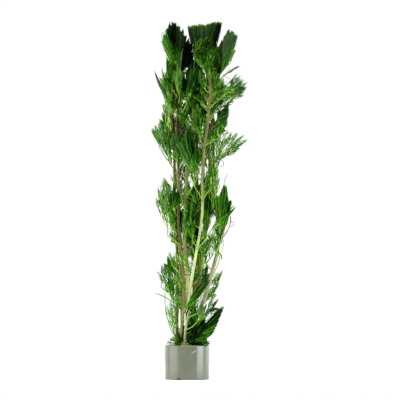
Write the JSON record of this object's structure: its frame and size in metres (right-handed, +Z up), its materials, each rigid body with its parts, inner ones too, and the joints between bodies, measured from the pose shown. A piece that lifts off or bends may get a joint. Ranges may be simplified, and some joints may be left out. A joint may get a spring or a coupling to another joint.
{
  "type": "cabomba bunch in a ceramic ring",
  "caption": "Upright bunch of finely cut fan-leaved water plant stems, out of water, gripped by foam in a short glazed ceramic ring that stands on its foot",
  "frame": {"origin": "centre of the ceramic ring's foot, on the surface that the bunch stands on", "axes": "+Z up along the stems, -Y the side that the picture shows, +X to the picture's right"},
  "size_m": [0.0603, 0.0385, 0.2222],
  "materials": {
    "glaze": "gloss",
    "foam": "matte",
    "stem_olive": "satin",
    "stem_brown": "satin",
    "leaf": "satin"
  },
  "bodies": {
    "root": {"ceramic_ring": "glaze", "foam_plug": "foam", "stem_front": "stem_olive", "stem_centre": "stem_olive", "stem_left": "stem_brown", "stem_inner_left": "stem_brown", "stem_middle": "stem_olive", "stem_right": "stem_brown", "stem_back_left": "stem_olive", "stem_back_right": "stem_olive", "tuft_left": "leaf", "tuft_inner_left": "leaf", "tuft_middle": "leaf", "tuft_front": "leaf", "leaf_front_1_left": "leaf", "tuft_right": "leaf", "leaf_left_2_left": "leaf", "leaf_left_2_right": "leaf", "leaf_inner_left_2_left": "leaf", "leaf_inner_left_2_right": "leaf", "leaf_centre_2_right": "leaf", "leaf_front_2_left": "leaf", "leaf_front_2_right": "leaf", "leaf_right_1_right": "leaf", "leaf_right_2_right": "leaf", "leaf_right_3_right": "leaf", "leaf_front_3_right": "leaf", "leaf_right_4_right": "leaf", "leaf_front_3_left": "leaf", "leaf_left_3_left": "leaf", "leaf_inner_left_3_left": "leaf", "leaf_centre_3_right": "leaf", "leaf_front_4_left": "leaf", "leaf_front_4_right": "leaf", "leaf_inner_left_4_left": "leaf", "leaf_inner_left_5_left": "leaf", "leaf_left_4_left": "leaf", "leaf_right_5_left": "leaf", "leaf_right_6_right": "leaf", "leaf_front_5_right": "leaf", "leaf_middle_2_left": "leaf", "leaf_middle_2_right": "leaf", "leaf_middle_1_right": "leaf", "leaf_front_6_left": "leaf", "leaf_inner_left_6_left": "leaf", "leaf_inner_left_7_left": "leaf", "leaf_left_5_left": "leaf", "leaf_right_7_right": "leaf", "leaf_right_8_right": "leaf", "leaf_front_7_right": "leaf", "leaf_inner_left_8_right": "leaf", "leaf_front_8_right": "leaf", "tuft_back_left": "leaf", "tuft_back_right": "leaf", "leaf_back_left_2": "leaf", "leaf_back_left_3": "leaf", "leaf_back_left_4": "leaf", "leaf_back_right_2": "leaf", "leaf_back_right_3": "leaf", "leaf_back_right_4": "leaf"}
  },
  "joints": []
}
